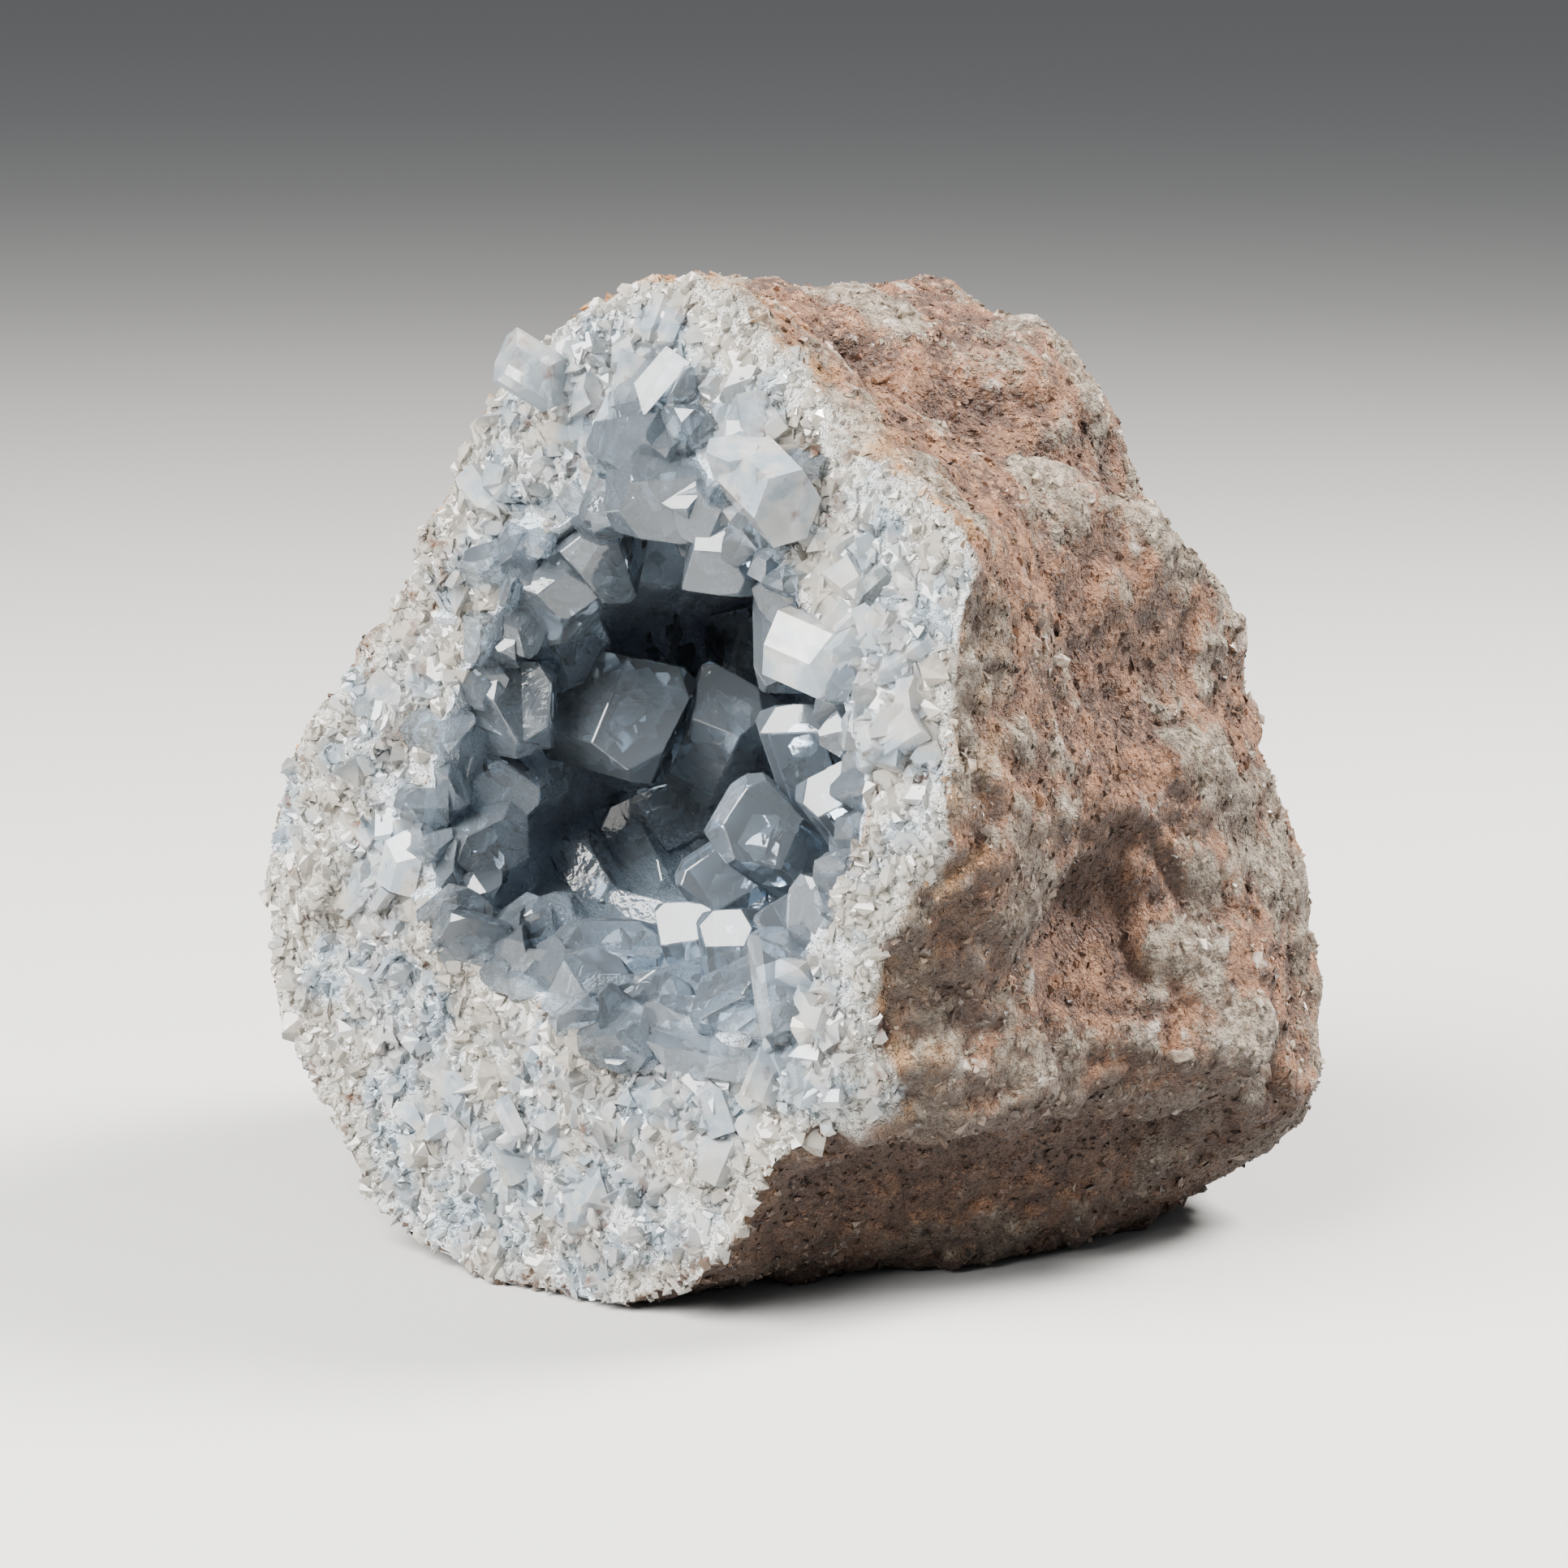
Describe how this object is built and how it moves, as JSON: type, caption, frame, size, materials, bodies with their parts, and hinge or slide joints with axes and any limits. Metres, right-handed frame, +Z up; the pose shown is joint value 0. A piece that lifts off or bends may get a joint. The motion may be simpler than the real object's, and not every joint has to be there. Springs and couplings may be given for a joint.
{
  "type": "celestite geode",
  "caption": "Hollow rock nodule broken open across its front, with a crust of blocky pale blue crystals lining the hollow; rests on a flat spot.",
  "frame": {"origin": "middle of the specimen's bounding box, on the surface that it rests on", "axes": "+Z up, the longest extent; the broken face with the hollow's mouth looks along -Y; +X is to the right seen from in front of that face"},
  "size_m": [0.1022, 0.093, 0.1063],
  "materials": {
    "rock": "gritty red-brown clay rind with a broken face of white and pale blue crystal grains",
    "crystal": "clear pale blue crystal with flat glossy faces and milky veils"
  },
  "bodies": {
    "root": {"rock_wall": "rock", "crystal_crust": "crystal"}
  },
  "joints": []
}
